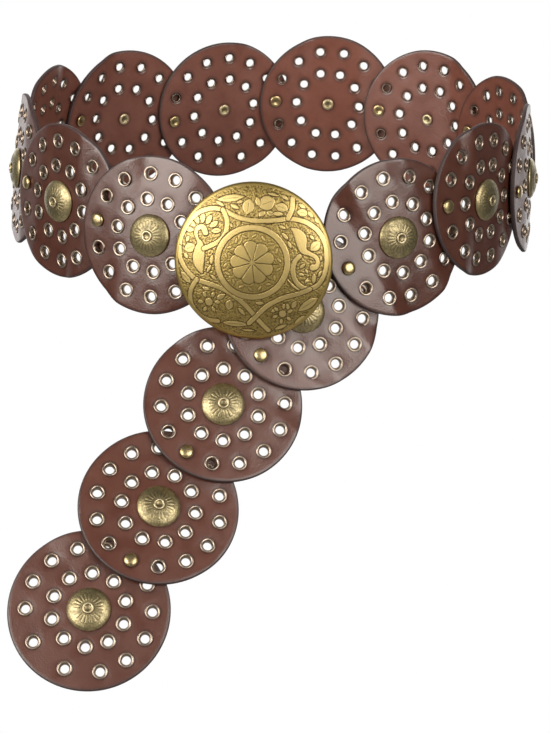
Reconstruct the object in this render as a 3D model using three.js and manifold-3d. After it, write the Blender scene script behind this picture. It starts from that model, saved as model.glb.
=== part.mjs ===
// Concho belt: sixteen round leather discs riveted into a chain, each with a small brass concho,
// closed by a round domed brass buckle. Millimetres, +Z up, the origin is the middle of the worn loop.
import * as THREE from 'three';
import { mergeVertices } from 'three/addons/utils/BufferGeometryUtils.js';
import Module from 'manifold-3d';

const wasm = await Module();
wasm.setup();

// Driving sizes of the leather discs
const discCount = 16;
const discRadius = 42.5;
const leather = 2.4;
const discSides = 24;
const rivetRing = 33;
const innerRing = 19.6;
const outerPlaces = 14;
const innerPlaces = 10;
const punchRadius = 2.75;
const punchSides = 6;
const piercedDiscs = 4;
const openEndShift = 6.5;

// A disc is flat under its concho and at both ends, and bends in a band between them
const seatMargin = 0.2;
const bendEnd = 21;
const lineMargin = 0.1;

// Fit of one layer on another
const layerGap = 0.35;
const seatGap = 0.3;
const rivetPlay = 4;

// Link rivets
const stemRadius = 1.7;
const stemHoleRadius = 2.35;
const capRadius = 3.8;
const capHeight = 1.7;
const backRadius = 3.5;
const backHeight = 0.9;
const rivetSides = 8;

// Conchos
const conchoRadius = 11.5;
const conchoHeight = 4;
const conchoEdge = 0.7;
const ferruleRadius = 3.1;
const ferruleHeight = 0.7;
const conchoSides = 8;

const bendStart = conchoRadius + seatMargin;

// Buckle
const buckleRadius = 42;
const buckleWall = 1.6;
const domeHeight = 7;
const rimLift = 4.2;
const rimHeight = 1.9;
const rimBead = 2.2;
const reliefHeight = 0.6;
const ringRadius = 18.2;
const ringWidth = 1.2;
const rosetteRadius = 8.4;
const petalCount = 9;
const petalLength = 3.9;
const petalWidth = 2.1;
const bossRadius = 2.6;
const buckleSides = 32;
const lugRadius = 4;
const postToCentre = 25;
const postDrop = 1.2;
const buckleBend = 14;
const hookRadius = 1.5;
const hookReach = 6.5;
const hookDisc = 13;
const hookPlace = 6;

// How each disc leads on to the next one, in degrees: turn curves the belt round the body,
// rock twists the leather about the line of the belt, and swivel is the angle at the rivet
const course = [
  { turn: 22.5, rock: -9.5, swivel: -1.5 },
  { turn: 31, rock: -0.5, swivel: 4.5 },
  { turn: 33, rock: 1.5, swivel: -12.5 },
  { turn: 41, rock: -6.5, swivel: 10 },
  { turn: 8.5, rock: 0.5, swivel: -15.5 },
  { turn: 20, rock: -7, swivel: 12 },
  { turn: 31.5, rock: 1, swivel: 2 },
  { turn: 28.5, rock: 7.5, swivel: 2 },
  { turn: 40, rock: 2.5, swivel: -6.5 },
  { turn: 27, rock: 0.5, swivel: -5 },
  { turn: 28, rock: 9.5, swivel: 25 },
  { turn: 7, rock: 16, swivel: 14.5 },
  { turn: -7.5, rock: 12.5, swivel: 7 },
  { turn: -10, rock: 1.5, swivel: 10.5 },
  { turn: 9, rock: 4, swivel: -15 },
];

// The disc at the back of the loop sets how the whole belt stands, in degrees
const backDisc = 8;
const backHeading = 31.5;
const backLean = -4;
const backRoll = 5;
const loopDiscs = 12;

const rad = THREE.MathUtils.degToRad;

const leatherOuter = new THREE.MeshStandardMaterial({ color: 0x7a4a42, roughness: 0.5, metalness: 0 });
const agedBrass = new THREE.MeshStandardMaterial({ color: 0x9a8450, roughness: 0.4, metalness: 1 });
const brightBrass = new THREE.MeshStandardMaterial({ color: 0xb89a5a, roughness: 0.35, metalness: 1 });

// Turns a closed three.js geometry into a solid for cutting and joining
function solid(geometry) {
  const bare = geometry.index ? geometry.clone() : geometry;
  bare.deleteAttribute('normal');
  bare.deleteAttribute('uv');
  const merged = mergeVertices(bare, 1e-4);
  return new wasm.Manifold(new wasm.Mesh({
    numProp: 3,
    vertProperties: new Float32Array(merged.attributes.position.array),
    triVerts: new Uint32Array(merged.index.array),
  }));
}

function geometryOf(manifold) {
  const mesh = manifold.getMesh();
  const geometry = new THREE.BufferGeometry();
  geometry.setAttribute('position', new THREE.BufferAttribute(new Float32Array(mesh.vertProperties), 3));
  geometry.setIndex(new THREE.BufferAttribute(new Uint32Array(mesh.triVerts), 1));
  geometry.computeVertexNormals();
  return geometry;
}

function turned(points, sides) {
  const profile = points.map(([r, z]) => new THREE.Vector2(r, z));
  return new THREE.LatheGeometry(profile, sides).rotateX(Math.PI / 2);
}

// The form of disc i: between which lines it bends, and how far each end bends and twists. Back is
// towards the buckle, on is towards the tail.
function formOf(i) {
  const before = course[i - 1];
  const after = course[i];
  const pierced = i >= discCount - piercedDiscs;
  return {
    start: pierced ? clearOfHoles(bendStart) : bendStart,
    end: pierced ? clearOfHoles(bendEnd) : bendEnd,
    backBend: before ? rad(before.turn - rivetPlay) / 2 : rad(buckleBend),
    backTwist: before ? -rad(before.rock) / 2 : 0,
    onBend: after ? rad(after.turn - rivetPlay) / 2 : 0,
    onTwist: after ? rad(after.rock) / 2 : 0,
  };
}

// Moves a point of the flat disc to its place on the bent and twisted one
function shaped(form, x, y, z) {
  const side = x < 0 ? -1 : 1;
  const along = Math.abs(x);
  const bend = side < 0 ? form.backBend : form.onBend;
  const twistEnd = side < 0 ? form.backTwist : form.onTwist;
  const band = form.end - form.start;
  const share = Math.min(Math.max((along - form.start) / band, 0), 1);
  const angle = bend * share;
  const past = Math.max(along - form.end, 0);
  const curved = Math.abs(bend) > 1e-5;
  const reach = curved ? band / bend * Math.sin(angle) : band * share;
  const drop = curved ? band / bend * (1 - Math.cos(angle)) : 0;
  const twist = twistEnd * share;
  const lift = y * Math.sin(twist) + z * Math.cos(twist);
  return new THREE.Vector3(
    side * (Math.min(along, form.start) + reach + past * Math.cos(bend) + lift * Math.sin(angle)),
    y * Math.cos(twist) - z * Math.sin(twist),
    -drop - past * Math.sin(bend) + lift * Math.cos(angle),
  );
}

function bent(form, geometry) {
  const position = geometry.attributes.position;
  for (let k = 0; k < position.count; k += 1) {
    const point = shaped(form, position.getX(k), position.getY(k), position.getZ(k));
    position.setXYZ(k, point.x, point.y, point.z);
  }
  return geometry;
}

// Holes of disc i in the flat: the concho's, the rivets' and, where the disc is pierced, the eyelets'
function holesOf(i) {
  const last = i === discCount - 1;
  const stemHole = (x) => ({ x, y: 0, radius: stemHoleRadius, sides: rivetSides });
  const holes = [0, -rivetRing, rivetRing].map(stemHole);
  if (last) holes.pop();
  if (i < discCount - piercedDiscs) return holes;
  for (let k = 1; k < outerPlaces; k += 1) {
    const nearEnd = k === 1 || k === outerPlaces - 1;
    const shift = last && nearEnd ? rad(openEndShift) * (k === 1 ? -1 : 1) : 0;
    if (k !== outerPlaces / 2) holes.push(eyelet(rivetRing, k * 2 * Math.PI / outerPlaces + shift));
  }
  for (let k = 0; k < innerPlaces; k += 1) {
    holes.push(eyelet(innerRing, k * 2 * Math.PI / innerPlaces));
  }
  return holes;
}

function eyelet(ring, angle) {
  return { x: ring * Math.cos(angle), y: ring * Math.sin(angle), radius: punchRadius, sides: punchSides };
}

// Moves a bending line outwards until it runs between the holes of a pierced disc
function clearOfHoles(line) {
  const column = (hole) => ({ x: Math.abs(hole.x), reach: hole.radius + lineMargin });
  const columns = holesOf(discCount - 2).map(column);
  columns.sort((a, b) => a.x - b.x);
  return columns.reduce((x, hole) => (Math.abs(hole.x - x) < hole.reach ? hole.x + hole.reach : x), line);
}

function circle(radius, sides, x, y) {
  const corners = [];
  for (let k = 0; k < sides; k += 1) {
    const angle = (k + 0.5) * 2 * Math.PI / sides;
    corners.push(new THREE.Vector2(x + radius * Math.cos(angle), y + radius * Math.sin(angle)));
  }
  return corners;
}

// The flat strip of disc i between two cross lines, open where it meets the next strip
function strip(i, from, to) {
  const edge = (x) => new THREE.Vector2(x, Math.sqrt(Math.max(discRadius ** 2 - x ** 2, 0)));
  const between = (point) => point.y > 0 && point.x > from && point.x < to;
  const upper = circle(discRadius, discSides, 0, 0).filter(between);
  upper.sort((a, b) => a.x - b.x);
  if (from > -discRadius) upper.unshift(edge(from));
  if (to < discRadius) upper.push(edge(to));
  const lower = upper.map((point) => new THREE.Vector2(point.x, -point.y));
  const shape = new THREE.Shape([...upper, ...lower.reverse()]);
  const inside = holesOf(i).filter((hole) => hole.x > from && hole.x < to);
  shape.holes = inside.map((hole) => new THREE.Path(circle(hole.radius, hole.sides, hole.x, hole.y)));
  const plate = new THREE.ExtrudeGeometry(shape, { depth: leather, bevelEnabled: false });
  const corners = plate.translate(0, 0, -leather / 2).attributes.position.array;
  const kept = [];
  for (let k = 0; k < corners.length; k += 9) {
    const xs = [corners[k], corners[k + 3], corners[k + 6]];
    const onLine = [from, to].some((line) => xs.every((x) => Math.abs(x - line) < 1e-4));
    if (!onLine) kept.push(...corners.subarray(k, k + 9));
  }
  return kept;
}

// One leather disc: flat strips side by side, closed into one skin and bent to shape
function leatherDisc(i) {
  const form = formOf(i);
  const lines = [-discRadius, -form.end, -form.start, form.start, form.end, discRadius];
  const corners = lines.slice(1).flatMap((to, k) => strip(i, lines[k], to));
  const geometry = new THREE.BufferGeometry();
  geometry.setAttribute('position', new THREE.BufferAttribute(new Float32Array(corners), 3));
  const disc = bent(form, mergeVertices(geometry, 1e-3));
  disc.computeVertexNormals();
  return disc;
}

// Domed concho with a tubular ferrule in front, its stem and the riveted end behind the leather
function conchoShape() {
  const base = leather / 2 + seatGap;
  const top = base + conchoHeight;
  return turned([
    [0, -base - backHeight],
    [backRadius, -base - backHeight],
    [backRadius, -base],
    [stemRadius, -base],
    [stemRadius, base],
    [conchoRadius, base],
    [conchoRadius, base + conchoEdge],
    [conchoRadius * 0.55, base + conchoHeight * 0.8],
    [ferruleRadius, top],
    [ferruleRadius, top + ferruleHeight],
    [0, top + ferruleHeight],
  ], conchoSides);
}

// Distance between the middles of two riveted layers, open enough for the upper one to tip by the play
const layerStep = leather + layerGap + (discRadius - rivetRing) * Math.tan(rad(rivetPlay));

// Link rivet: domed cap outside, flat end inside, round two layers of leather
function linkRivetShape() {
  const capSeat = leather / 2 + seatGap;
  const backSeat = -layerStep - leather / 2 - seatGap - backRadius * Math.tan(rad(rivetPlay));
  return turned([
    [0, backSeat - backHeight],
    [backRadius, backSeat - backHeight],
    [backRadius, backSeat],
    [stemRadius, backSeat],
    [stemRadius, capSeat],
    [capRadius, capSeat],
    [capRadius * 0.7, capSeat + capHeight * 0.75],
    [0, capSeat + capHeight],
  ], rivetSides);
}

// Place of one end of a disc, at its rivet: side is -1 for the back end and 1 for the end that goes on
function endFrame(form, side) {
  const frame = new THREE.Matrix4().makeTranslation(shaped(form, side * rivetRing, 0, 0));
  frame.multiply(new THREE.Matrix4().makeRotationY(side < 0 ? -form.backBend : form.onBend));
  return frame.multiply(new THREE.Matrix4().makeRotationX(side < 0 ? form.backTwist : form.onTwist));
}

// Frames of all discs, one after the other from the buckle, then set down on the worn pose
function discFrames() {
  const frames = [new THREE.Matrix4()];
  course.forEach((step, i) => {
    const frame = frames[i].clone().multiply(endFrame(formOf(i), 1));
    frame.multiply(new THREE.Matrix4().makeTranslation(0, 0, -layerStep));
    frame.multiply(new THREE.Matrix4().makeRotationY(rad(rivetPlay)));
    frame.multiply(new THREE.Matrix4().makeRotationZ(rad(step.swivel)));
    frames.push(frame.multiply(endFrame(formOf(i + 1), -1).invert()));
  });
  const worn = new THREE.Matrix4().makeRotationZ(-rad(backHeading));
  worn.multiply(new THREE.Matrix4().makeRotationX(-Math.PI / 2));
  worn.multiply(new THREE.Matrix4().makeRotationX(rad(backLean)));
  worn.multiply(new THREE.Matrix4().makeRotationZ(rad(backRoll)));
  worn.multiply(frames[backDisc - 1].clone().invert());
  const placed = frames.map((frame) => worn.clone().multiply(frame));
  const loop = new THREE.Box3();
  for (const frame of placed.slice(0, loopDiscs)) {
    loop.expandByPoint(new THREE.Vector3().setFromMatrixPosition(frame));
  }
  const middle = loop.getCenter(new THREE.Vector3());
  const toMiddle = new THREE.Matrix4().makeTranslation(middle.negate());
  return placed.map((frame) => toMiddle.clone().multiply(frame));
}

// Frame of the buckle: on the outside of disc 1 at its back rivet place, tipped by the play
function buckleFrame(discFrame) {
  const frame = discFrame.clone().multiply(endFrame(formOf(0), -1));
  frame.multiply(new THREE.Matrix4().makeTranslation(0, 0, leather / 2 + seatGap));
  return frame.multiply(new THREE.Matrix4().makeRotationY(-rad(rivetPlay)));
}

// Height of the dome's outside above its rim at a distance from the middle
function domeAt(distance) {
  const sphere = (buckleRadius ** 2 + domeHeight ** 2) / (2 * domeHeight);
  return Math.sqrt(sphere ** 2 - distance ** 2) - sphere + domeHeight;
}

// Domed round plate with a raised rim bead and a raised double ring
function plateShape() {
  const underRim = rimLift;
  const overRim = rimLift + rimHeight;
  const skin = (r, extra) => [r, overRim + domeAt(r) + extra];
  const beadStart = buckleRadius - rimBead;
  const ringEnd = ringRadius + ringWidth;
  const edge = ringWidth / 3;
  const inside = [0.92, 0.7, 0.35].map((share) => share * buckleRadius);
  return turned([
    [0, overRim + domeHeight - buckleWall],
    ...inside.toReversed().map((r) => skin(r, -buckleWall)),
    [buckleRadius - buckleWall, underRim],
    [buckleRadius, underRim],
    skin(buckleRadius, 0),
    skin(beadStart + rimBead / 2, reliefHeight),
    skin(beadStart, 0),
    skin((beadStart + ringEnd) / 2, 0),
    skin(ringEnd, 0),
    skin(ringEnd - edge, reliefHeight),
    skin(ringRadius + edge, reliefHeight),
    skin(ringRadius, 0),
    skin((ringRadius + rosetteRadius) / 2, 0),
    [0, overRim + domeHeight],
  ], buckleSides);
}

// Raised rosette in the middle of the plate: petals round a boss
function rosetteShapes() {
  const petals = [];
  for (let k = 0; k < petalCount; k += 1) {
    const petal = new THREE.SphereGeometry(1, 6, 3);
    petal.scale(petalLength, petalWidth, reliefHeight * 2);
    petal.translate(rosetteRadius, 0, rimLift + rimHeight + domeAt(rosetteRadius));
    petals.push(petal.rotateZ(k * 2 * Math.PI / petalCount));
  }
  const boss = new THREE.SphereGeometry(1, 8, 4);
  boss.scale(bossRadius, bossRadius, reliefHeight * 2);
  return [...petals, boss.translate(0, 0, rimLift + rimHeight + domeHeight)];
}

// Post that is riveted through disc 1, standing on the plate's inside
function postShape() {
  const front = rimLift + rimHeight + domeAt(postToCentre + lugRadius) - buckleWall / 2;
  const back = -leather - 2 * seatGap;
  return turned([
    [0, back - backHeight],
    [backRadius, back - backHeight],
    [backRadius, back],
    [stemRadius, back],
    [stemRadius, 0],
    [lugRadius, 0],
    [lugRadius, front],
    [0, front],
  ], rivetSides);
}

// Hook that runs from the plate's inside through an eyelet of the hook disc and turns under its leather
function hookShape(toBuckle, discFrame) {
  const form = formOf(hookDisc - 1);
  const angle = hookPlace * 2 * Math.PI / innerPlaces;
  const x = innerRing * Math.cos(angle);
  const y = innerRing * Math.sin(angle);
  const inDisc = (px, pz) => shaped(form, px, y, pz).applyMatrix4(discFrame).applyMatrix4(toBuckle);
  const clear = leather / 2 + seatGap + hookRadius;
  const over = inDisc(x, clear);
  const fromCentre = Math.hypot(over.x + postToCentre, over.y + postDrop);
  const ceiling = rimLift + rimHeight + domeAt(fromCentre) - buckleWall / 2;
  const start = new THREE.Vector3(over.x, over.y, ceiling);
  const path = new THREE.CatmullRomCurve3([
    start,
    over,
    inDisc(x, 0),
    inDisc(x, -clear),
    inDisc(x + hookRadius, -clear - hookRadius),
    inDisc(x + hookReach, -clear - hookRadius),
  ], false, 'centripetal');
  const section = new THREE.Shape();
  section.absarc(0, 0, hookRadius, 0, 2 * Math.PI);
  return new THREE.ExtrudeGeometry(section, { steps: 12, curveSegments: 3, extrudePath: path });
}

function buckleShape(frame, hookFrame) {
  const toPlate = (geometry) => geometry.translate(-postToCentre, -postDrop, 0);
  let body = solid(toPlate(plateShape()));
  for (const raised of rosetteShapes()) body = body.add(solid(toPlate(raised)));
  body = body.add(solid(postShape()));
  body = body.add(solid(hookShape(frame.clone().invert(), hookFrame)));
  return geometryOf(body);
}

const frames = discFrames();
const belt = new THREE.Group();

function add(name, geometry, material, frame) {
  const mesh = new THREE.Mesh(geometry, material);
  mesh.name = name;
  frame.decompose(mesh.position, mesh.quaternion, mesh.scale);
  belt.add(mesh);
}

function numbered(name, i) {
  return `${name}_${String(i + 1).padStart(2, '0')}`;
}

frames.forEach((frame, i) => {
  add(numbered('leather_disc', i), leatherDisc(i), leatherOuter, frame);
  add(numbered('concho', i), conchoShape(), agedBrass, frame);
});
course.forEach((step, i) => {
  const frame = frames[i].clone().multiply(endFrame(formOf(i), 1));
  add(numbered('link_rivet', i), linkRivetShape(), agedBrass, frame);
});
const buckle = buckleFrame(frames[0]);
add('buckle', buckleShape(buckle, frames[hookDisc - 1]), brightBrass, buckle);

export default belt;
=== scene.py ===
from math import atan2, cos, degrees, hypot, pi, radians, sin, tan

import bmesh
import bpy
import numpy as np
from mathutils import Matrix, Vector, geometry, noise


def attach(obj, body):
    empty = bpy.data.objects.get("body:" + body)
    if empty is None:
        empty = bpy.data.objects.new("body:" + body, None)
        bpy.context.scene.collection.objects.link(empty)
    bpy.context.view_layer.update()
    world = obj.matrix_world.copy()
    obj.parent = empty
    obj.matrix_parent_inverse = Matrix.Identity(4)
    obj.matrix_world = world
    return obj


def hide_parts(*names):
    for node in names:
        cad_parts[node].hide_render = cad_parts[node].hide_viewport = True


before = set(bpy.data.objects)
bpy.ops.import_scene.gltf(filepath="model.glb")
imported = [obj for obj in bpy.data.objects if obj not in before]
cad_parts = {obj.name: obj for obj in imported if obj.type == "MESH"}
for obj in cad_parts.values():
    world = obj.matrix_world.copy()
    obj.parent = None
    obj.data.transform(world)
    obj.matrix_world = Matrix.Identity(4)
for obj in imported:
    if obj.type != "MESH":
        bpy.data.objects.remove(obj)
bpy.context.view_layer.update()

print("frame loaded:", len(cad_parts), "nodes")

# The belt's layout, in millimetres and degrees, as the solids have it
belt = {
    "discRadius": 42.5, "leather": 2.4, "rivetRing": 33, "innerRing": 19.6, "outerPlaces": 14,
    "innerPlaces": 10, "openEndShift": 6.5, "layerGap": 0.35, "seatGap": 0.3, "play": 4,
    "bendStart": 11.7, "bendEnd": 21, "piercedBendEnd": 23.43, "piercedDiscs": 4,
    "buckleBend": 14, "loopDiscs": 12, "backDisc": 7, "backHeading": 31.5, "backLean": -4,
    "backRoll": 5,
}

# Turn, rock and swivel from each disc to the next, from the buckle to the tail
steps = [
    (22.5, -9.5, -1.5), (31, -0.5, 4.5), (33, 1.5, -12.5), (41, -6.5, 10), (8.5, 0.5, -15.5),
    (20, -7, 12), (31.5, 1, 2), (28.5, 7.5, 2), (40, 2.5, -6.5), (27, 0.5, -5),
    (28, 9.5, 25), (7, 16, 14.5), (-7.5, 12.5, 7), (-10, 1.5, 10.5), (9, 4, -15),
]
discCount = len(steps) + 1
mm = 0.001
faceHeight = belt["leather"] / 2  # from the middle of the leather to its face
seat = faceHeight + belt["seatGap"]  # where a concho, a rivet or the buckle sits
playSlope = tan(radians(belt["play"]))
layerStep = belt["leather"] + belt["layerGap"] + (belt["discRadius"] - belt["rivetRing"]) * playSlope


def turned(axis, degrees):
    return Matrix.Rotation(radians(degrees), 4, axis)


def moved(x, y, z):
    return Matrix.Translation((x, y, z))


def polar(radius, angle):
    return radius * cos(radians(angle)), radius * sin(radians(angle))


def discForm(i):
    # A disc's two bends and twists, and where its bends lie
    play = belt["play"]
    backTurn, backRock, _ = steps[i - 1] if i > 0 else (2 * belt["buckleBend"] + play, 0, 0)
    onTurn, onRock, _ = steps[i] if i < discCount - 1 else (play, 0, 0)
    pierced = i >= discCount - belt["piercedDiscs"]
    return {
        "backBend": (backTurn - play) / 2, "backTwist": -backRock / 2,
        "onBend": (onTurn - play) / 2, "onTwist": onRock / 2,
        "start": belt["bendStart"], "end": belt["piercedBendEnd" if pierced else "bendEnd"],
    }


def shapedPoints(form, points):
    # Moves points of the flat disc to where its bends put them
    x, y, z = np.asarray(points, float).T
    back = x < 0
    bend = np.radians(np.where(back, form["backBend"], form["onBend"]))
    bend = np.where(np.abs(bend) < 1e-5, 1e-5, bend)
    length = form["end"] - form["start"]
    share = np.clip((np.abs(x) - form["start"]) / length, 0, 1)
    angle = bend * share
    twist = np.radians(np.where(back, form["backTwist"], form["onTwist"])) * share
    past = np.maximum(np.abs(x) - form["end"], 0)
    lift = y * np.sin(twist) + z * np.cos(twist)
    reach = np.minimum(np.abs(x), form["start"]) + length / bend * np.sin(angle)
    reach = reach + past * np.cos(angle) + lift * np.sin(angle)
    height = lift * np.cos(angle) - length / bend * (1 - np.cos(angle)) - past * np.sin(angle)
    return np.stack([np.where(back, -reach, reach), y * np.cos(twist) - z * np.sin(twist), height], 1)


def frameOn(form, x, y, z=0):
    # Frame that stands on the bent disc at a point of the flat one
    place = shapedPoints(form, [(x, y, z)])[0]
    share = min(max((abs(x) - form["start"]) / (form["end"] - form["start"]), 0), 1)
    bend = -form["backBend"] if x < 0 else form["onBend"]
    twist = form["backTwist"] if x < 0 else form["onTwist"]
    return moved(*place) @ turned("Y", bend * share) @ turned("X", twist * share)


def chainOfDiscs():
    ring = belt["rivetRing"]
    frames = [Matrix.Identity(4)]
    for i, (_, _, swivel) in enumerate(steps):
        link = moved(0, 0, -layerStep) @ turned("Y", belt["play"]) @ turned("Z", swivel)
        onto = frameOn(discForm(i + 1), -ring, 0).inverted()
        frames.append(frames[i] @ frameOn(discForm(i), ring, 0) @ link @ onto)
    worn = turned("Z", -belt["backHeading"]) @ turned("X", -90)
    worn = worn @ turned("X", belt["backLean"]) @ turned("Z", belt["backRoll"])
    worn = worn @ frames[belt["backDisc"]].inverted()
    frames = [worn @ one for one in frames]
    centres = np.array([one.translation for one in frames[:belt["loopDiscs"]]])
    middle = (centres.min(0) + centres.max(0)) / 2
    return [moved(*-middle) @ one for one in frames]


discFrames = chainOfDiscs()
scene = bpy.context.scene
print("discs laid out:", discCount)


def onDisc(i, x, y, z=0):
    return discFrames[i] @ frameOn(discForm(i), x, y, z)


def node(name, i):
    return f"{name}_{i + 1:02d}"


def addObject(name, data):
    made = bpy.data.objects.new(name, data)
    scene.collection.objects.link(made)
    return made


def meshPiece(name, points, faces, place=None, masks=None):
    # Makes a smooth object from points in millimetres, with its place in its mesh
    points = np.asarray(points, float)
    if place is not None:
        turn = np.array(place.to_3x3())
        points = points @ turn.T + np.array(place.translation)
    mesh = bpy.data.meshes.new(name)
    mesh.from_pydata((points * mm).tolist(), [], [list(face) for face in faces])
    mesh.shade_smooth()
    if masks is not None:
        layer = mesh.color_attributes.new("masks", "FLOAT_COLOR", "POINT")
        colours = np.ones((len(points), 4), np.float32)
        colours[:, :masks.shape[1]] = masks
        layer.data.foreach_set("color", colours.ravel())
    mesh.update()
    return addObject(name, mesh)


def bridge(low, high, along=False):
    # Faces between two rings of points, drawn round the first ring or along to the second
    after = [*range(1, len(low)), 0]
    if along:
        return [(low[k], high[k], high[n], low[n]) for k, n in enumerate(after)]
    return [(low[k], low[n], high[n], high[k]) for k, n in enumerate(after)]


def shifted(faces, count):
    # Faces of a part whose points come after that many others
    return [tuple(count + k for k in face) for face in faces]


def lathe(profile, sides, closed=False):
    # Points, faces and painted shades of a shape turned about Z, from rows of radius, height and painted
    # shade
    points = []
    rows = []
    shades = []
    for radius, height, shade in profile:
        count = sides if radius > 1e-6 else 1
        rows.append([len(points) + k % count for k in range(sides)])
        angles = [2 * pi * k / sides for k in range(count)]
        points += [(radius * cos(a), radius * sin(a), height) for a in angles]
        shades += [shade] * count
    faces = []
    for low, high in zip(rows, rows[1:] + rows[:closed]):
        whole = [tuple(dict.fromkeys(face)) for face in bridge(low, high)]
        faces += [face for face in whole if len(face) > 2]
    return np.array(points, float), faces, shades


def feed(tree, made, values):
    # Links a node's sockets to other ones, or sets them to numbers and colours
    for key, value in values.items():
        if isinstance(value, bpy.types.NodeSocket):
            tree.links.new(value, made.inputs[key])
        else:
            made.inputs[key].default_value = (*value, 1) if isinstance(value, tuple) else value


def addNode(tree, kind, **values):
    # New node with its settings, whose names are in small letters, and its sockets
    made = tree.nodes.new(kind)
    for key, value in values.items():
        if key[0].isupper():
            feed(tree, made, {key: value})
        else:
            setattr(made, key, value)
    return made


def mathNode(tree, operation, *values):
    made = addNode(tree, "ShaderNodeMath", operation=operation)
    feed(tree, made, dict(enumerate(values)))
    return made.outputs[0]


def ranged(tree, value, low, high, toLow=0.0, toHigh=1.0):
    ends = {"From Min": low, "From Max": high, "To Min": toLow, "To Max": toHigh}
    return addNode(tree, "ShaderNodeMapRange", clamp=True, Value=value, **ends).outputs["Result"]


def mixColour(tree, factor, first, second):
    made = addNode(tree, "ShaderNodeMix", data_type="RGBA")
    feed(tree, made, {0: factor, 6: first, 7: second})  # the node's sockets for colours
    return made.outputs[2]


def newGroup(name, sizes, results):
    # Group of a surface effect, with sizes in millimetres going in and values coming out
    group = bpy.data.node_groups.new(name, "ShaderNodeTree")
    for label, value in sizes.items():
        group.interface.new_socket(label, in_out="INPUT", socket_type="NodeSocketFloat").default_value = value
    for label in results:
        group.interface.new_socket(label, in_out="OUTPUT", socket_type="NodeSocketFloat")
    return group, addNode(group, "NodeGroupInput"), addNode(group, "NodeGroupOutput")


def surfaceTexture(group, start, label, kind, **values):
    # Texture on the piece's own coordinates, as large as the group's input of that name says
    where = addNode(group, "ShaderNodeTexCoord").outputs["Object"]
    scale = mathNode(group, "DIVIDE", 1 / mm, start.outputs[label])
    return addNode(group, kind, Vector=where, Scale=scale, **values)


def leatherGrainGroup():
    sizes = {"Pore size": 0.8, "Cloud size": 14.0, "Crease size": 6.0}
    group, start, end = newGroup("leatherGrain", sizes, ("Height", "Clouds", "Creases"))
    noiseKind = "ShaderNodeTexNoise"
    pores = surfaceTexture(group, start, "Pore size", "ShaderNodeTexVoronoi",
                           feature="SMOOTH_F1", Smoothness=0.4).outputs["Distance"]
    clouds = surfaceTexture(group, start, "Cloud size", noiseKind, Detail=4, Roughness=0.6).outputs[0]
    creases = surfaceTexture(group, start, "Crease size", noiseKind,
                             Detail=2, Roughness=0.5, Distortion=0.6).outputs[0]
    ridge = mathNode(group, "ABSOLUTE", mathNode(group, "SUBTRACT", creases, 0.5))
    line = ranged(group, ridge, 0.0, 0.045, 1.0, 0.0)
    height = mathNode(group, "MULTIPLY", pores, 0.5)
    for value, share in ((clouds, 1.1), (line, -0.06), (creases, 0.9)):
        height = mathNode(group, "MULTIPLY_ADD", value, share, height)
    feed(group, end, {"Height": height, "Clouds": ranged(group, clouds, 0.3, 0.7), "Creases": line})
    return group


def patinaGroup():
    sizes = {"Patch size": 6.0, "Speck size": 0.7}
    group, start, end = newGroup("patina", sizes, ("Patches", "Specks", "Height"))
    patches = surfaceTexture(group, start, "Patch size", "ShaderNodeTexNoise", Detail=5, Roughness=0.65)
    specks = surfaceTexture(group, start, "Speck size", "ShaderNodeTexVoronoi").outputs["Distance"]
    feed(group, end, {
        "Patches": ranged(group, patches.outputs[0], 0.35, 0.65),
        "Specks": ranged(group, specks, 0.1, 0.55),
        "Height": mathNode(group, "MULTIPLY", specks, 0.6),
    })
    return group


leatherGrain = leatherGrainGroup()
patina = patinaGroup()


def newMaterial(name):
    material = bpy.data.materials.new(name)
    material.use_nodes = True
    tree = material.node_tree
    return material, tree, tree.nodes["Principled BSDF"]


def maskSockets(tree):
    masks = addNode(tree, "ShaderNodeAttribute", attribute_name="masks")
    return addNode(tree, "ShaderNodeSeparateColor", Color=masks.outputs["Color"]).outputs


def dressShader(tree, shader, height, look, sockets):
    # Sets the shader's sockets and gives it a fine bump
    fine = {"Strength": look["bump"], "Distance": look["bumpDepth"]}
    bump = addNode(tree, "ShaderNodeBump", Height=height, **fine).outputs[0]
    feed(tree, shader, {**sockets, "Normal": bump})


leatherLook = {
    "outer": (0.078, 0.022, 0.012), "outerPale": (0.106, 0.035, 0.021),
    "inner": (0.172, 0.057, 0.037), "innerPale": (0.215, 0.078, 0.052),
    # the second colour on the next line is painted shade, laid round the eyelet holes and along the creases
    "edge": (0.030, 0.013, 0.012), "paintedShade": (0.040, 0.012, 0.008), "creaseShadeShare": 0.1,
    "holeShadeShare": 0.75, "roughness": (0.29, 0.37), "edgeRoughness": 0.7, "bump": 0.24,
    "bumpDepth": 0.0004, "specular": 1.0,
}


def leatherMaterial(look):
    # Smooth leather, darker outside than inside and at its edges, with painted shade round its holes and
    # along its creases
    material, tree, shader = newMaterial("brown leather")
    grain = addNode(tree, "ShaderNodeGroup", node_tree=leatherGrain).outputs
    masks = maskSockets(tree)
    outer = mixColour(tree, grain["Clouds"], look["outer"], look["outerPale"])
    inner = mixColour(tree, grain["Clouds"], look["inner"], look["innerPale"])
    colour = mixColour(tree, masks[2], outer, inner)
    # painted shade along the creases and round the holes
    for mask, share in ((grain["Creases"], look["creaseShadeShare"]), (masks[1], look["holeShadeShare"])):
        colour = mixColour(tree, mathNode(tree, "MULTIPLY", mask, share), colour, look["paintedShade"])
    colour = mixColour(tree, masks[0], colour, look["edge"])
    rough = ranged(tree, grain["Clouds"], 0, 1, *look["roughness"])
    atEdge = mathNode(tree, "MULTIPLY", masks[0], look["edgeRoughness"])
    dressShader(tree, shader, grain["Height"], look, {
        "Base Color": colour,
        "Roughness": mathNode(tree, "MAXIMUM", rough, atEdge),
        "Specular IOR Level": look["specular"],
    })
    return material


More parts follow.
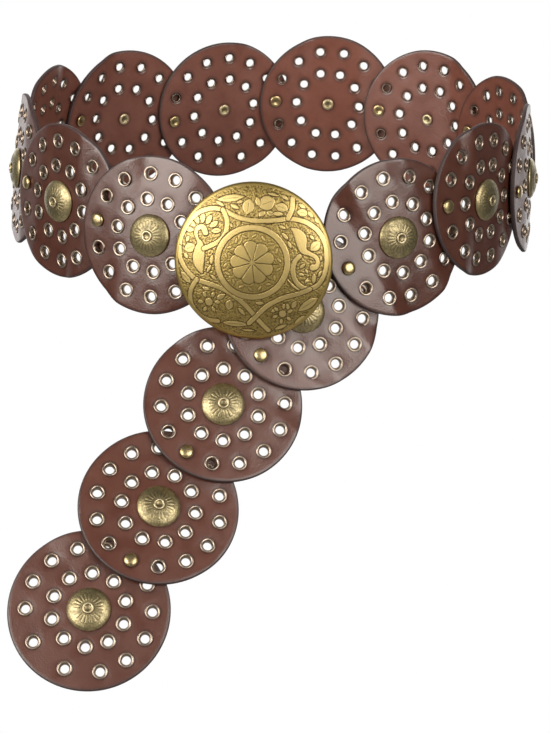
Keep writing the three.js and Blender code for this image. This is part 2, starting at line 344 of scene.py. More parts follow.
metalLook = {
    "pale": (0.70, 0.60, 0.50), "paleShare": 0.0, "patch": 3.0, "speck": 0.7, "groundShare": 0.35,
    "coat": 0.0, "coatRoughness": 0.28, "bump": 0.02, "bumpDepth": 0.0002,
}
eyeletLook = {
    **metalLook, "bright": (0.60, 0.50, 0.42), "dull": (0.46, 0.36, 0.27), "dark": (0.12, 0.08, 0.05),
    "roughness": (0.28, 0.42),
}
conchoLook = {
    **metalLook, "bright": (0.68, 0.57, 0.30), "dull": (0.32, 0.265, 0.135), "dark": (0.07, 0.052, 0.022),
    "pale": (0.80, 0.67, 0.42), "paleShare": 0.9, "roughness": (0.38, 0.54), "coat": 0.5,
    "patch": 2.6, "speck": 1.0, "bump": 0.3, "groundShare": 0.3,
}
rivetLook = {
    **metalLook, "bright": (0.74, 0.59, 0.31), "dull": (0.52, 0.40, 0.19), "dark": (0.12, 0.08, 0.04),
    "roughness": (0.27, 0.42), "coat": 0.2, "bump": 0.03,
}
buckleLook = {
    **metalLook, "bright": (0.74, 0.545, 0.18), "dull": (0.56, 0.41, 0.125), "dark": (0.085, 0.052, 0.012),
    "pale": (0.86, 0.655, 0.26), "paleShare": 0.85, "roughness": (0.39, 0.49), "coat": 0.45,
    "patch": 14.0, "speck": 1.0, "bump": 0.12, "groundShare": 0.5,
}


def metalMaterial(name, look):
    # Aged metal, which darkens where the mesh marks a groove, a stippled ground or painted shade in recesses
    # and under rims
    material, tree, shader = newMaterial(name)
    sizes = {"Patch size": look["patch"], "Speck size": look["speck"]}
    worn = addNode(tree, "ShaderNodeGroup", node_tree=patina, **sizes).outputs
    masks = maskSockets(tree)
    colour = mixColour(tree, worn["Patches"], look["bright"], look["dull"])
    colour = mixColour(tree, mathNode(tree, "MULTIPLY", masks[2], look["paleShare"]), colour, look["pale"])
    specks = ranged(tree, worn["Specks"], 0, 1, 1.0, look["groundShare"])
    for mask in (mathNode(tree, "MULTIPLY", masks[1], specks), masks[0]):
        colour = mixColour(tree, mask, colour, look["dark"])
    rough = mathNode(tree, "MAXIMUM", worn["Patches"], masks[1])
    dressShader(tree, shader, worn["Height"], look, {
        "Base Color": colour,
        "Roughness": ranged(tree, rough, 0, 1, *look["roughness"]),
        "Metallic": 1.0,
        "Coat Weight": look["coat"],
        "Coat Roughness": look["coatRoughness"],
    })
    return material


leatherFinish = leatherMaterial(leatherLook)
eyeletFinish = metalMaterial("pale antique brass", eyeletLook)
conchoFinish = metalMaterial("aged brass", conchoLook)
rivetFinish = metalMaterial("rivet brass", rivetLook)
buckleFinish = metalMaterial("buckle brass", buckleLook)
print("materials made")

view = {"place": (-0.0092, -1.4359, 0.3487), "angles": (71.9, 0.256, -0.441), "lens": 125, "sensor": 36}
camera = addObject("camera", bpy.data.cameras.new("camera"))
camera.data.lens = view["lens"]
camera.data.sensor_width = view["sensor"]
camera.location = view["place"]
camera.rotation_euler = [radians(angle) for angle in view["angles"]]
scene.camera = camera
scene.view_settings.view_transform = "Standard"

# Soft boxes: name, heading and rise in degrees, width, height and reach in metres, watts, mirrored
lamps = [
    ("leftBox", -48, 20, 1.5, 1.1, 1.8, 28, True),
    ("rightBox", 37, 20.5, 1.2, 1.2, 1.8, 19.5, True),
    ("topBox", 0, 86, 0.8, 0.8, 1.8, 28, False),
]
lampColour = (1.0, 0.95, 0.89)


def addLamp(name, heading, rise, width, height, reach, watts, mirrored):
    data = bpy.data.lights.new(name, "AREA")
    data.shape = "RECTANGLE"
    data.size = width
    data.size_y = height
    data.energy = watts
    data.color = lampColour
    lamp = addObject(name, data)
    across, up = radians(heading), radians(rise)
    away = Vector((sin(across) * cos(up), -cos(across) * cos(up), sin(up)))
    lamp.location = away * reach
    lamp.rotation_euler = (-away).to_track_quat("-Z", "Y").to_euler()
    lamp.visible_camera = False
    lamp.visible_glossy = mirrored


for lamp in lamps:
    addLamp(*lamp)

white = (1, 1, 1)
roomLook = {"dim": 0.06, "bright": 1.8, "brightFrom": 0.5, "brightTo": 0.95}
floorLook = {"size": 3200, "height": -950, "colour": (0.3, 0.3, 0.3), "roughness": 0.9}


def showWhite(tree, lit, seen, output):
    # One shader lights the belt, and the white one is what the camera sees
    either = addNode(tree, "ShaderNodeMixShader")
    path = addNode(tree, "ShaderNodeLightPath")
    feed(tree, either, {0: path.outputs["Is Camera Ray"], 1: lit.outputs[0], 2: seen.outputs[0]})
    feed(tree, tree.nodes[output], {"Surface": either.outputs[0]})


def paleRoom(look):
    # For the light it is bright behind the belt and dim beside it
    room = bpy.data.worlds.new("pale room")
    scene.world = room
    room.use_nodes = True
    tree = room.node_tree
    where = addNode(tree, "ShaderNodeTexCoord").outputs["Generated"]
    behind = addNode(tree, "ShaderNodeSeparateXYZ", Vector=where).outputs["Y"]
    strength = ranged(tree, behind, look["brightFrom"], look["brightTo"], look["dim"], look["bright"])
    ambient = tree.nodes["Background"]
    feed(tree, ambient, {"Strength": strength, "Color": white})
    backdrop = addNode(tree, "ShaderNodeBackground", Strength=1.0, Color=white)
    showWhite(tree, ambient, backdrop, "World Output")


def paleFloor(look):
    half = look["size"] / 2
    corners = [(x * half, y * half, look["height"]) for x, y in ((-1, -1), (1, -1), (1, 1), (-1, 1))]
    floor = meshPiece("floor", corners, [(0, 1, 2, 3)])
    paint, tree, shader = newMaterial("floor paint")
    feed(tree, shader, {"Base Color": look["colour"], "Roughness": look["roughness"]})
    glow = addNode(tree, "ShaderNodeEmission", Color=white, Strength=1.0)
    showWhite(tree, shader, glow, "Material Output")
    floor.data.materials.append(paint)


paleRoom(roomLook)
paleFloor(floorLook)
print("camera and light set")

leather = {
    "holeRadius": 3.0, "rivetHoleRadius": 2.35, "holeBevel": 0.4, "edgeRound": 0.8,
    "edgeArc": (35, 65, 90),  # degrees down the rounded edge
    "edgeFade": (2.0, 1.6),  # the edge's shade begins this far in and is full after that much
    "edgeShade": 0.7, "grid": 2.3, "outerSides": 128, "holeSides": 20,
    "holeRings": (4.3, 5.5),  # rings of points round a hole
    "holeClear": 6.3,  # the grid keeps off a hole's middle
    "ringGap": 0.4, "rimRing": 1.3, "rimClear": 2.6, "rimKeep": 0.8, "dimple": 0.16,
    "dimpleReach": 1.6, "dimpleCurve": 1.5, "shadeReach": 1.3,
    "backShare": 0.4,  # how much of the dimple shows inside
    "flange": 4.1, "sway": 0.2, "swayLength": 32, "cup": 1.1, "frontCup": 1.7,
}


def eyeletPlaces(i):
    # Middles of a disc's eyelets on the flat leather, where no link rivet sits
    count = belt["outerPlaces"]
    shift = belt["openEndShift"] if i == discCount - 1 else 0
    outer = [k * 360 / count for k in range(1, count) if k * 2 != count]
    outer[0] -= shift
    outer[-1] += shift
    inner = [k * 360 / belt["innerPlaces"] for k in range(belt["innerPlaces"])]
    return [polar(belt["rivetRing"], a) for a in outer] + [polar(belt["innerRing"], a) for a in inner]


def leatherLift(i, x, y):
    # How far a disc's leather lies off its flat plane: cupped across the belt, with a little sway
    x, y = np.atleast_1d(x), np.atleast_1d(y)
    cup = leather["frontCup"] if i in (0, belt["loopDiscs"] - 1) else leather["cup"]
    length = leather["swayLength"]
    sway = [noise.noise((p / length, q / length, 3.7 * i)) for p, q in zip(x, y)]  # each disc its own
    return leather["sway"] * np.array(sway) - cup * (y / belt["discRadius"]) ** 2


def frameOnLeather(i, x, y):
    # Frame on the middle of the leather at a point of the flat disc
    step = 0.5
    here, along, down = leatherLift(i, [x, x + step, x], [y, y, y + step])
    tilt = turned("X", degrees(atan2(down - here, step)))
    tilt = turned("Y", -degrees(atan2(along - here, step))) @ tilt
    return onDisc(i, x, y, here) @ tilt


def circlePoints(radius, sides, x=0.0, y=0.0, start=0.0):
    angles = start + 2 * pi * np.arange(sides) / sides
    return np.stack([x + radius * np.cos(angles), y + radius * np.sin(angles)], 1)


def level(flat, height):
    return np.column_stack([flat, np.broadcast_to(height, len(flat))])


def toNearest(points, holes):
    return np.min([np.hypot(points[:, 0] - x, points[:, 1] - y) for x, y, _ in holes], 0)


def flatLeather(holes):
    # Triangulates the flat disc round its holes; returns points, triangles and edge loops
    points = []
    edges = []
    loops = []

    def addLoop(ring):
        indices = list(range(len(points), len(points) + len(ring)))
        points.extend(Vector(p) for p in ring)
        edges.extend(zip(indices, indices[1:] + indices[:1]))
        loops.append(indices)

    rim = belt["discRadius"] - leather["edgeRound"]
    sides = leather["holeSides"]
    addLoop(circlePoints(rim, leather["outerSides"]))
    for x, y, radius in holes:
        addLoop(circlePoints(radius + leather["holeBevel"], sides, x, y))
    free = [circlePoints(rim - leather["rimRing"], leather["outerSides"] * 2 // 3)]
    for x, y, radius in holes:
        others = [h for h in holes if h[:2] != (x, y)]
        for reach in leather["holeRings"]:
            ring = circlePoints(reach, sides, x, y, pi / sides)
            free.append(ring[toNearest(ring, others) > reach + leather["ringGap"]])
    step = leather["grid"]
    rows = int(rim / (step * 0.866)) + 1
    grid = np.array([((col + row % 2 / 2) * step, row * step * 0.866)
                     for row in range(-rows, rows + 1) for col in range(-rows, rows + 1)])
    clear = toNearest(grid, holes) > leather["holeClear"]
    free.append(grid[clear & (np.hypot(*grid.T) < rim - leather["rimClear"])])
    spare = np.concatenate(free)
    points.extend(Vector(p) for p in spare[np.hypot(*spare.T) < rim - leather["rimKeep"]])
    out = geometry.delaunay_2d_cdt(points, edges, [], 0, 1e-4)
    flat = np.array([tuple(p) for p in out[0]])
    newIndex = {old: k for k, olds in enumerate(out[3]) for old in olds}
    triangles = []
    for face in out[2]:
        corners = flat[list(face)]
        x, y = corners.mean(0)
        if any(hypot(x - p, y - q) < radius + leather["holeBevel"] * 0.9 for p, q, radius in holes):
            continue
        a, b, c = corners[:3]
        turn = (b[0] - a[0]) * (c[1] - a[1]) - (b[1] - a[1]) * (c[0] - a[0])
        triangles.append(tuple(face) if turn > 0 else tuple(reversed(face)))
    return flat, triangles, [[newIndex[k] for k in loop] for loop in loops]


def leatherPiece(i):
    last = i == discCount - 1
    ring = belt["rivetRing"]
    holes = [(x, y, leather["holeRadius"]) for x, y in eyeletPlaces(i)]
    holes += [(x, 0, leather["rivetHoleRadius"]) for x in ((0, -ring) if last else (0, -ring, ring))]
    if last not in flatDiscs:
        flatDiscs[last] = flatLeather(holes)
    flat, triangles, loops = flatDiscs[last]
    count = len(flat)
    toHole = toNearest(flat, holes) - leather["flange"]
    sunk = np.clip(1 - toHole / leather["dimpleReach"], 0, 1) ** leather["dimpleCurve"] * leather["dimple"]
    # painted shadow round each eyelet hole: full under the flange, fading out past its edge
    holeShadow = np.clip(1 - toHole / leather["shadeReach"], 0, 1)
    toEdge = belt["discRadius"] - np.hypot(*flat.T)
    begin, fade = leather["edgeFade"]
    atEdge = np.clip((begin - toEdge) / fade, 0, 1) * leather["edgeShade"]
    points = [level(flat, faceHeight - sunk), level(flat, leather["backShare"] * sunk - faceHeight)]
    masks = [np.column_stack([atEdge, holeShadow, np.zeros(count)]),
             np.column_stack([atEdge, holeShadow * 0.6, np.ones(count)])]
    faces = triangles + shifted([face[::-1] for face in triangles], count)
    total = 2 * count

    def addRows(loop, rows, inner, maskRow):
        # Bridges an edge loop of the top to the same loop underneath, through rows of points
        nonlocal total
        around = flat[loop]
        middle = around.mean(0)
        outward = (around - middle) / np.linalg.norm(around - middle, axis=1)[:, None]
        chain = [list(loop)]
        for radius, height in rows:
            points.append(level(middle + outward * radius, height))
            masks.append(np.tile(maskRow, (len(loop), 1)))
            chain.append(list(range(total, total + len(loop))))
            total += len(loop)
        chain.append([count + k for k in loop])
        for upper, lower in zip(chain, chain[1:]):
            faces.extend(face[::-1] if inner else face for face in bridge(upper, lower, True))

    e = leather["edgeRound"]
    rim = belt["discRadius"] - e
    arc = [(rim + e * sin(radians(a)), faceHeight - e + e * cos(radians(a)))
           for a in leather["edgeArc"]]
    addRows(loops[0], arc + [(r, -z) for r, z in reversed(arc)], False, (1.0, 0.0, 0.0))
    wall = faceHeight - leather["holeBevel"]
    # each hole's wall takes the dark edge colour and full painted shadow
    for (x, y, radius), loop in zip(holes, loops[1:]):
        addRows(loop, [(radius, wall), (radius, -wall)], True, (0.6, 1.0, 0.0))
    allPoints = np.concatenate(points)
    allPoints[:, 2] += leatherLift(i, allPoints[:, 0], allPoints[:, 1])
    shaped = shapedPoints(discForm(i), allPoints)
    piece = meshPiece(node("leather", i), shaped, faces, discFrames[i], np.concatenate(masks))
    piece.data.materials.append(leatherFinish)
    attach(piece, "root")
    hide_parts(node("leather_disc", i))


flatDiscs = {}
for i in range(discCount):
    leatherPiece(i)
print("leather discs made:", discCount)


def settingTree():
    # Sets a shape on points, each turned about its own axis at random
    tree = bpy.data.node_groups.new("setOnPoints", "GeometryNodeTree")
    sockets = (("Geometry", "Geometry", None), ("Shape", "Object", None), ("Size", "Float", 1.0),
               ("Turn spread", "Float", 0.0), ("Seed", "Int", 4), ("Finish", "Material", None))
    for label, kind, value in sockets:
        socket = tree.interface.new_socket(label, in_out="INPUT", socket_type="NodeSocket" + kind)
        if value is not None:
            socket.default_value = value
    tree.interface.new_socket("Geometry", in_out="OUTPUT", socket_type="NodeSocketGeometry")
    start = addNode(tree, "NodeGroupInput").outputs
    points = addNode(tree, "GeometryNodeMeshToPoints", Mesh=start["Geometry"])
    shape = addNode(tree, "GeometryNodeObjectInfo", Object=start["Shape"])
    turn = addNode(tree, "GeometryNodeInputNamedAttribute", data_type="FLOAT_VECTOR", Name="turn")
    laid = addNode(tree, "GeometryNodeInstanceOnPoints", Points=points.outputs[0], Scale=start["Size"],
                   Instance=shape.outputs["Geometry"], Rotation=turn.outputs["Attribute"])
    chance = addNode(tree, "FunctionNodeRandomValue", Seed=start["Seed"])
    feed(tree, chance, {3: start["Turn spread"]})  # its largest value
    about = addNode(tree, "ShaderNodeCombineXYZ", Z=chance.outputs[1]).outputs[0]
    spun = addNode(tree, "GeometryNodeRotateInstances", Instances=laid.outputs[0], Rotation=about)
    spun.inputs["Local Space"].default_value = True
    real = addNode(tree, "GeometryNodeRealizeInstances", Geometry=spun.outputs[0])
    finish = addNode(tree, "GeometryNodeSetMaterial", Geometry=real.outputs[0], Material=start["Finish"])
    addNode(tree, "NodeGroupOutput", Geometry=finish.outputs[0])
    return tree


setOnPoints = settingTree()
setting = {"Size": 1.0, "Turn spread": 2 * pi}


def setShapes(name, shape, places, finish, seed):
    # Sets a shape on each frame and returns the result as one plain mesh object
    mesh = bpy.data.meshes.new(name + "Points")
    mesh.from_pydata([place.translation * mm for place in places], [], [])
    turns = mesh.attributes.new("turn", "FLOAT_VECTOR", "POINT")
    turns.data.foreach_set("vector", [angle for place in places for angle in place.to_euler()])
    carrier = addObject(name + "Points", mesh)
    modifier = carrier.modifiers.new("set", "NODES")
    modifier.node_group = setOnPoints
    values = {**setting, "Shape": shape, "Seed": seed, "Finish": finish}
    for socket in setOnPoints.interface.items_tree:
        if socket.in_out == "INPUT" and socket.name in values:
            modifier[socket.identifier] = values[socket.name]
    depsgraph = bpy.context.evaluated_depsgraph_get()
    made = bpy.data.meshes.new_from_object(carrier.evaluated_get(depsgraph))
    made.name = name
    for attribute in list(made.attributes):
        if attribute.name in ("turn", "id"):
            made.attributes.remove(attribute)
    bpy.data.objects.remove(carrier)
    piece = addObject(name, made)
    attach(piece, "root")
    return piece


def outwardFaces(piece):
    # Turns every face of a closed shape outwards
    work = bmesh.new()
    work.from_mesh(piece.data)
    bmesh.ops.recalc_face_normals(work, faces=work.faces)
    work.to_mesh(piece.data)
    work.free()
    return piece


def turnedShape(name, profile, sides, closed=False):
    # Lathed shape whose first mask is the painted shade of each row
    points, faces, shades = lathe(profile, sides, closed)
    masks = np.zeros((len(points), 3))
    masks[:, 0] = shades
    return outwardFaces(meshPiece(name, points, faces, None, masks))


eyelet = {
    "bore": 2.8, "throat": 2.35, "flange": 4.2, "roll": 0.55, "wall": 0.2, "backLip": 0.25,
    "sides": 16,
}


def eyeletShape(size):
    # Section of a rolled eyelet, as one closed ring of points
    top = faceHeight
    bore, throat, flange, roll = (size[key] for key in ("bore", "throat", "flange", "roll"))
    middle = (bore + flange) / 2
    back = -top - size["backLip"]
    outside = throat + size["wall"]
    # the third number of each row is painted shade: dark at the flange's edge on the leather, just inside the
    # bore's lip and at the tube's back end
    profile = [
        (flange, top - 0.25, 0.5), (flange - 0.1, top + roll * 0.6, 0), (middle + 0.15, top + roll, 0),
        (bore + 0.15, top + roll * 0.5, 0.1), (bore - 0.05, top - 0.2, 0.6), (throat, top - 1.0, 0.2),
        (throat, back, 0.45), (outside + 0.35, back + 0.08, 0.3), (outside, top - 1.1, 0.45),
    ]
    return turnedShape("eyeletShape", profile, size["sides"], True)


eyeletModel = eyeletShape(eyelet)
for i in range(discCount):
    places = [frameOnLeather(i, x, y) for x, y in eyeletPlaces(i)]
    piece = setShapes(node("eyelets", i), eyeletModel, places, eyeletFinish, 11 + i)
bpy.data.objects.remove(eyeletModel)
print("eyelets set")

concho = {
    "radius": 11.5, "height": 4.0, "edge": 0.7, "domeSquareness": 2.3, "domeFall": 0.85,
    "ferrule": 3.1, "ferruleBore": 1.8, "ferruleHeight": 0.6, "petals": 22, "petalStart": 3.8,
    "petalEnd": 8.5, "petalRound": 0.9, "petalLine": 0.12,
    "strokeBand": (4.6, 5.2, 7.2, 7.9),  # where a petal's stroke begins, is full, fades and ends
    "beadBand": (9.3, 9.7, 10.3, 10.7), "groundBand": (8.7, 9.1, 10.6, 11.1),
    "beads": 44, "relief": 0.15, "sides": 144, "rings": 24, "backFlange": 3.5,
    "backHeight": 0.9, "stem": 1.7, "rivetSides": 24,
}


def smooth(value, low, high):
    share = np.clip((value - low) / (high - low), 0, 1)
    return share * share * (3 - 2 * share)


def band(value, begin, full, fade, end):
    # Rises from begin to full and falls from fade to end
    return smooth(value, begin, full) * (1 - smooth(value, fade, end))


def conchoShape(size):
    # Domed disc with stamped petals, a tubular rivet in the middle and its clench behind
    radius, rings, sides = size["radius"], size["rings"], size["sides"]
    inner = size["ferrule"] - 0.1
    points = []
    masks = []
    angles = 2 * pi * np.arange(sides) / sides
    around = np.column_stack([np.cos(angles), np.sin(angles)])
    turn = (angles * size["petals"] / (2 * pi)) % 1 - 0.5
    wave = 0.5 + 0.5 * np.cos(angles * size["beads"])
    line = size["petalLine"]
    for j in range(rings + 1):
        r = inner + (radius - inner) * j / rings
        share = max(1 - (r / radius) ** size["domeSquareness"], 0)
        dome = size["edge"] + (size["height"] - size["edge"]) * share ** size["domeFall"]
        # petals with a dark outline and a dark stroke within, then a row of beads
        halfPetal = pi * r / size["petals"]
        across = np.abs(turn) * 2 * halfPetal
        end = size["petalEnd"] - size["petalRound"] * (2 * np.abs(turn)) ** 2
        away = np.maximum(across - halfPetal + line, np.maximum(r - end, size["petalStart"] - r))
        outline = 1 - smooth(np.abs(away + line), 0.1, 0.34)
        stroke = (1 - smooth(across, 0.06, 0.32)) * band(r, *size["strokeBand"])
        beads = wave * band(r, *size["beadBand"])
        ground = band(r, *size["groundBand"]) * (1 - beads)
        groove = np.maximum(outline * (r < 9.4), np.maximum(stroke * 0.9, 1 - smooth(r, 3.5, 4.0)))
        height = seat + dome + size["relief"] * (0.5 * smooth(-away, 0, 0.4) - 0.6 * groove + 0.8 * beads)
        height = height - (0.12 if r > radius - 0.05 else 0)
        points.append(level(r * around, height))
        masks.append(np.column_stack([np.clip(groove, 0, 1) * 0.55, ground * 0.6, np.zeros(sides)]))
    # closes the cap under its edge, in to the stem and up to where it began, with painted shade underneath
    for r, z in ((radius, seat + 0.15), (radius - 0.25, seat), (size["stem"], seat)):
        points.append(level(r * around, z))
        masks.append(np.zeros((sides, 3)) + (0.3, 0, 0))
    rows = [list(range(j * sides, (j + 1) * sides)) for j in range(len(points))]
    faces = []
    for low, high in zip(rows, rows[1:] + rows[:1]):
        faces += bridge(low, high, True)
    top = seat + size["height"] + size["ferruleHeight"]
    back = -seat
    ferrule, bore, stem = size["ferrule"], size["ferruleBore"], size["stem"]
    flange, tall = size["backFlange"], size["backHeight"]
    lip = (ferrule + bore) / 2
    # the tubular rivet from its clenched end behind, through the leather, to its rolled lip; the third number
    # of each row is painted shade, darkest down its bore, round its stem and in the dimple behind
    profile = [
        (0, back - tall * 0.45, 0.6), (flange * 0.42, back - tall * 0.5, 0.5), (flange * 0.6, back - tall, 0),
        (flange * 0.88, back - tall * 0.85, 0), (flange, back - tall * 0.35, 0), (flange - 0.15, back, 0.2),
        (stem, back, 0.2), (stem, seat + 2, 0.8), (ferrule - 0.3, top - 1.0, 0.7),
        (ferrule, top - 0.45, 0.15), (ferrule - 0.15, top - 0.15, 0), (lip + 0.2, top, 0),
        (lip - 0.25, top - 0.03, 0), (bore + 0.05, top - 0.25, 0.1), (bore - 0.05, top - 0.6, 0.7),
        (bore - 0.2, top - 0.75, 0.45), (0, top - 0.7, 0.3),
    ]
    rivetPoints, rivetFaces, shades = lathe(profile, size["rivetSides"])
    faces += shifted(rivetFaces, len(points) * sides)
    points.append(rivetPoints)
    masks.append([(shade, 0, shade < 0.2) for shade in shades])
    return outwardFaces(meshPiece("conchoShape", np.concatenate(points), faces, None, np.concatenate(masks)))


conchoModel = conchoShape(concho)
for i in range(discCount):
    piece = setShapes(node("domed_concho", i), conchoModel, [discFrames[i]], conchoFinish, 31 + i)
    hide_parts(node("concho", i))
bpy.data.objects.remove(conchoModel)
print("conchos set")

rivet = {
    "cap": 3.8, "capHeight": 1.7, "stem": 1.7, "back": 3.5, "backHeight": 0.9, "sides": 28,
}


def rivetShape(size):
    # Link rivet: domed cap outside, stem, and a clenched back with a dimple inside
    under = -layerStep - seat - size["back"] * playSlope
    cap, height, back, stem = (size[key] for key in ("cap", "capHeight", "back", "stem"))
    low = under - size["backHeight"]
    # the third number of each row is painted shade: dark in the dimple of the clench, under its flange, down
    # the stem and under the cap's edge
    profile = [
        (0, low + 0.45, 0.5), (back * 0.4, low + 0.4, 0.45), (back * 0.55, low + 0.05, 0.1),
        (back * 0.75, low, 0), (back * 0.95, low + 0.2, 0), (back, low + 0.5, 0.1), (back - 0.1, under, 0.5),
        (stem, under, 0.5), (stem, seat, 0.5), (cap - 0.25, seat - 0.15, 0.6), (cap, seat + 0.1, 0.35),
        (cap * 0.97, seat + height * 0.36, 0), (cap * 0.86, seat + height * 0.63, 0),
        (cap * 0.66, seat + height * 0.85, 0), (cap * 0.38, seat + height * 0.97, 0), (0, seat + height, 0),
    ]
    return turnedShape("rivetShape", profile, size["sides"])


rivetModel = rivetShape(rivet)
for i in range(discCount - 1):
    place = onDisc(i, belt["rivetRing"], 0)
    piece = setShapes(node("clenched_rivet", i), rivetModel, [place], rivetFinish, 51 + i)
    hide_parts(node("link_rivet", i))
bpy.data.objects.remove(rivetModel)
print("link rivets set")

buckle = {
    "radius": 42, "wall": 1.6, "dome": 7, "rimLift": 4.2, "rimHeight": 1.9, "margin": 1.7,
    "marginShade": 0.12, "shoulderFrom": 32, "shoulderDrop": 1.3, "edgeDrop": 0.35,
    "relief": 0.055, "inkDepth": 0.08, "inkWidth": 0.25, "groundDepth": 0.1, "ringIn": 16.8,
    "ringOut": 20.1, "petals": 9, "petalTurn": -4.5, "petalTip": 11.7, "petalNotch": 1.8,
    "petalLine": 12.2,
    "smallLeaf": (14.2, 3.8, 1.6, 52),  # distance, length, width and slant
    "rosetteShare": 0.62, "cells": 288, "postToCentre": 25, "postDrop": 1.2, "post": 4.0,
    "hook": 1.5, "hookReach": 6.5, "hookDisc": 12, "hookPlace": 6, "ribbon": 1.45,
}

# Flowing bands of the plate, in millimetres right of and above its middle as it is worn
ribbons = [
    [(-39.1, 7), (-38.5, 12), (-35.8, 17.8), (-31.9, 23.2), (-26.8, 26.8), (-20.8, 28.3), (-15.4, 27.5),
     (-11.3, 25.6), (-6.5, 23.5), (-0.5, 22.3), (6, 22), (12.7, 22.3), (18.7, 22.9), (24, 22.3), (29.5, 20.2),
     (34.6, 16), (37.9, 10), (38.9, 3.5), (38.6, -3), (37, -8.5), (34, -12.7), (29.5, -14.5), (25.3, -13),
     (22.3, -9), (21.4, -4.3), (22.3, 0.2), (24.7, 3.2)],
    [(-39.1, 7), (-38.8, 1.7), (-36.4, -3.4), (-33.4, -7), (-29.8, -9.7), (-25, -11.2), (-19, -13),
     (-13.7, -15.4), (-8.9, -18.7), (-4, -22.9), (0, -27.7), (4.3, -33), (7.9, -37)],
    [(-29.8, -9.7), (-32.8, -14.5), (-33.7, -19.3), (-32.8, -24), (-29.2, -28.9), (-24.4, -31.6),
     (-19, -32.2)],
    [(30, -14.8), (24, -16.9), (16.9, -18.7), (10.9, -21.4), (6, -24.7), (1.9, -28.9), (-2.3, -33)],
    [(-15.4, 27.5), (-13.4, 23.2), (-13.1, 19), (-14.3, 14.9), (-17.2, 11.3), (-21.4, 8.9), (-25.6, 7)],
    [(21, 33.5), (20.8, 28), (18.7, 23.2)],
]

# Curls: points with half widths
curls = [
    [(-24.7, 15.4, 1.7), (-26.2, 18.3, 1.7), (-29, 17.6, 1.4), (-29.9, 14.9, 1.2), (-29, 11.9, 1.1),
     (-27.7, 9.5, 1.8), (-28, 5.9, 3), (-28.6, 1.7, 3.4), (-28.3, -1.9, 2.6), (-27, -5.5, 1.1)],
    [(20.5, 18, 0.6), (23.5, 15.7, 2.2), (25.4, 12.5, 3.2), (26, 8.9, 2.6), (27.1, 5.9, 1.9), (30, 4.4, 1.3),
     (33, 2.6, 1.3), (34.3, 0, 1.3), (33.4, -2.6, 1.7), (31.6, -3, 1.9)],
    [(18.7, -9.3, 0.5), (21.5, -12.7, 0.8), (25.3, -15.3, 0.6)],
]

# Leaves: middle, length, width and angle
leaves = [
    (-11.3, 33.7, 15.5, 4.2, 7), (-17, 30.8, 6, 2.2, -28), (-9, 29.3, 6, 2.6, -22), (-6.5, 31.8, 4, 2.2, 20),
    (-2, 29.4, 8.6, 6.6, 82), (7.6, 31.2, 9.4, 8, 20), (3, 32, 5.4, 3, 105), (15.4, 28.9, 7.2, 5, -20),
    (5.2, 25.7, 4.2, 3, 40), (9.4, 25.9, 3.8, 3.2, -30), (13.5, 25.6, 6, 2.8, -5), (10.9, 35.6, 7, 2, -15),
    (17, 34, 5, 2.2, -38), (26.2, 26, 6.6, 4.4, -12), (26, 29.4, 5, 2.2, -35), (30.4, 25, 5, 2.4, -48),
    (33.7, 21.6, 4, 2, -52), (-33.4, 7.2, 6.8, 5.4, 25), (-35.5, 2.8, 4, 2.4, -60), (-34.6, 11.8, 4, 2.4, 65),
    (-35.8, -8.8, 8.4, 4, -48), (33, 8.3, 6.8, 5.4, 40), (31.2, 13, 3.8, 2, -45), (36, 1.7, 3.6, 1.6, 90),
    (32.2, -8.9, 6.2, 2.8, 85), (26.3, -2, 4.2, 2.2, 40), (25.6, -6.6, 4, 2, -12), (28.4, -10, 4, 2, 60),
    (35.4, -6.6, 4, 2.2, 60), (28.5, -5, 3.4, 1.8, 120), (-12.5, -22.9, 6, 4.6, 80), (-17, -18.6, 6, 3, 30),
    (3.7, -21.8, 5, 2.2, 0), (29, -23, 13, 4.8, 33), (21.7, -22.8, 4.6, 3, 60), (18.4, -24, 4.4, 2.4, 105),
    (-9.5, -33.4, 15, 3.4, -4), (14.5, -35.2, 8, 2.4, 22), (24.4, -31.4, 8, 2.6, 40), (-2.9, -37, 8, 1.8, -4),
    (-11.5, 20, 5.4, 2, -42), (17.3, 13.9, 5.4, 2.2, -50), (19.6, 9.4, 5, 2, -66), (15.8, 18.6, 4.6, 2, -28),
    (-21.5, 1.2, 6.4, 2.4, 82), (-23, -3.6, 5.4, 2, 62), (-20.6, -8.2, 5, 2, -40), (-6, -26.4, 6, 2.4, -48),
    (11.5, -25.6, 5, 2.4, 30), (-24.8, -14.4, 5, 2.2, -14), (-3, 20.9, 6, 1.4, -8), (9, 20.8, 6, 1.2, 4),
]

# Petals fanned round a point: its place, their distance, length, width, first angle, step and count
fans = [
    (-26.4, 15.6, 7.6, 6.2, 3.2, 8, 27, 7),
    (-23.4, -21.6, 4.6, 3.6, 2.4, 0, 60, 6),
    (15.6, -27.8, 4.2, 3.4, 2.2, 20, 60, 6),
]

# Round bosses: middle and radius
bosses = [(-23.4, -21.6, 2.3), (15.6, -27.8, 2.1)]


def smoothPath(points, perStep=5):
    # Even curve through the points, with whatever else each point carries
    points = np.array(points, float)
    padded = np.concatenate([[2 * points[0] - points[1]], points, [2 * points[-1] - points[-2]]])
    out = []
    for a, b, c, d in zip(padded, padded[1:], padded[2:], padded[3:]):
        square = 2 * a - 5 * b + 4 * c - d
        cube = 3 * b - a - 3 * c + d
        for t in np.arange(perStep) / perStep:
            out.append(0.5 * (2 * b + (c - a) * t + square * t ** 2 + cube * t ** 3))
    out.append(points[-1])
    return np.array(out)


def strokeDistance(u, v, path):
    # Distance of each point from a stroke's edge, negative inside it
    best = np.full(u.shape, 1e9)
    for a, b in zip(path, path[1:]):
        near = (np.abs(u - (a[0] + b[0]) / 2) < 8) & (np.abs(v - (a[1] + b[1]) / 2) < 8)
        du, dv = b[0] - a[0], b[1] - a[1]
        t = np.clip(((u[near] - a[0]) * du + (v[near] - a[1]) * dv) / (du * du + dv * dv + 1e-9), 0, 1)
        away = np.hypot(u[near] - a[0] - t * du, v[near] - a[1] - t * dv) - (a[2] + (b[2] - a[2]) * t)
        best[near] = np.minimum(best[near], away)
    return best


